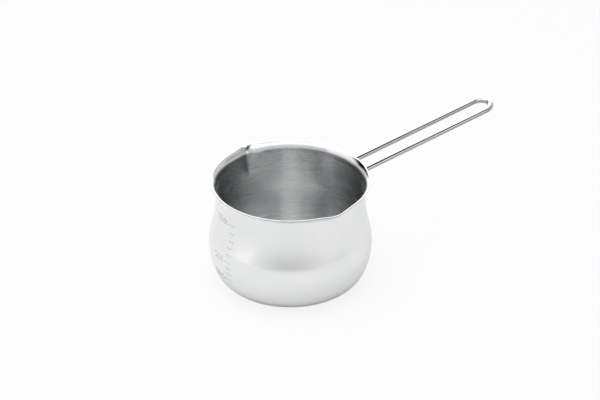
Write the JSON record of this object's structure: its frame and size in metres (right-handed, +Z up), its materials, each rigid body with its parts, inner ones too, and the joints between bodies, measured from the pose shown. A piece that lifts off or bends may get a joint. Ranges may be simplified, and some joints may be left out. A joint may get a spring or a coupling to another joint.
{
  "type": "candle melting pot",
  "caption": "Small stainless-steel pear-shaped melting pot with a flared lip, pressed pouring spouts on both sides and a bent-wire handle; pours melted wax, butter or sauce.",
  "frame": {"origin": "centre of the flat base, on the surface that the pot stands on", "axes": "+Z up along the pot's axis; +X along the handle, which rises away from the pot; +Y and -Y through the two pouring spouts"},
  "size_m": [0.1887, 0.0954, 0.0721],
  "materials": {
    "pot_steel": "polished outside, fine circular brushing inside",
    "handle_steel": "polished stainless wire",
    "weld_steel": "cleaned resistance weld"
  },
  "bodies": {
    "root": {"pot_body": "pot_steel", "wire_handle": "handle_steel", "weld_left": "weld_steel", "weld_right": "weld_steel"}
  },
  "joints": []
}
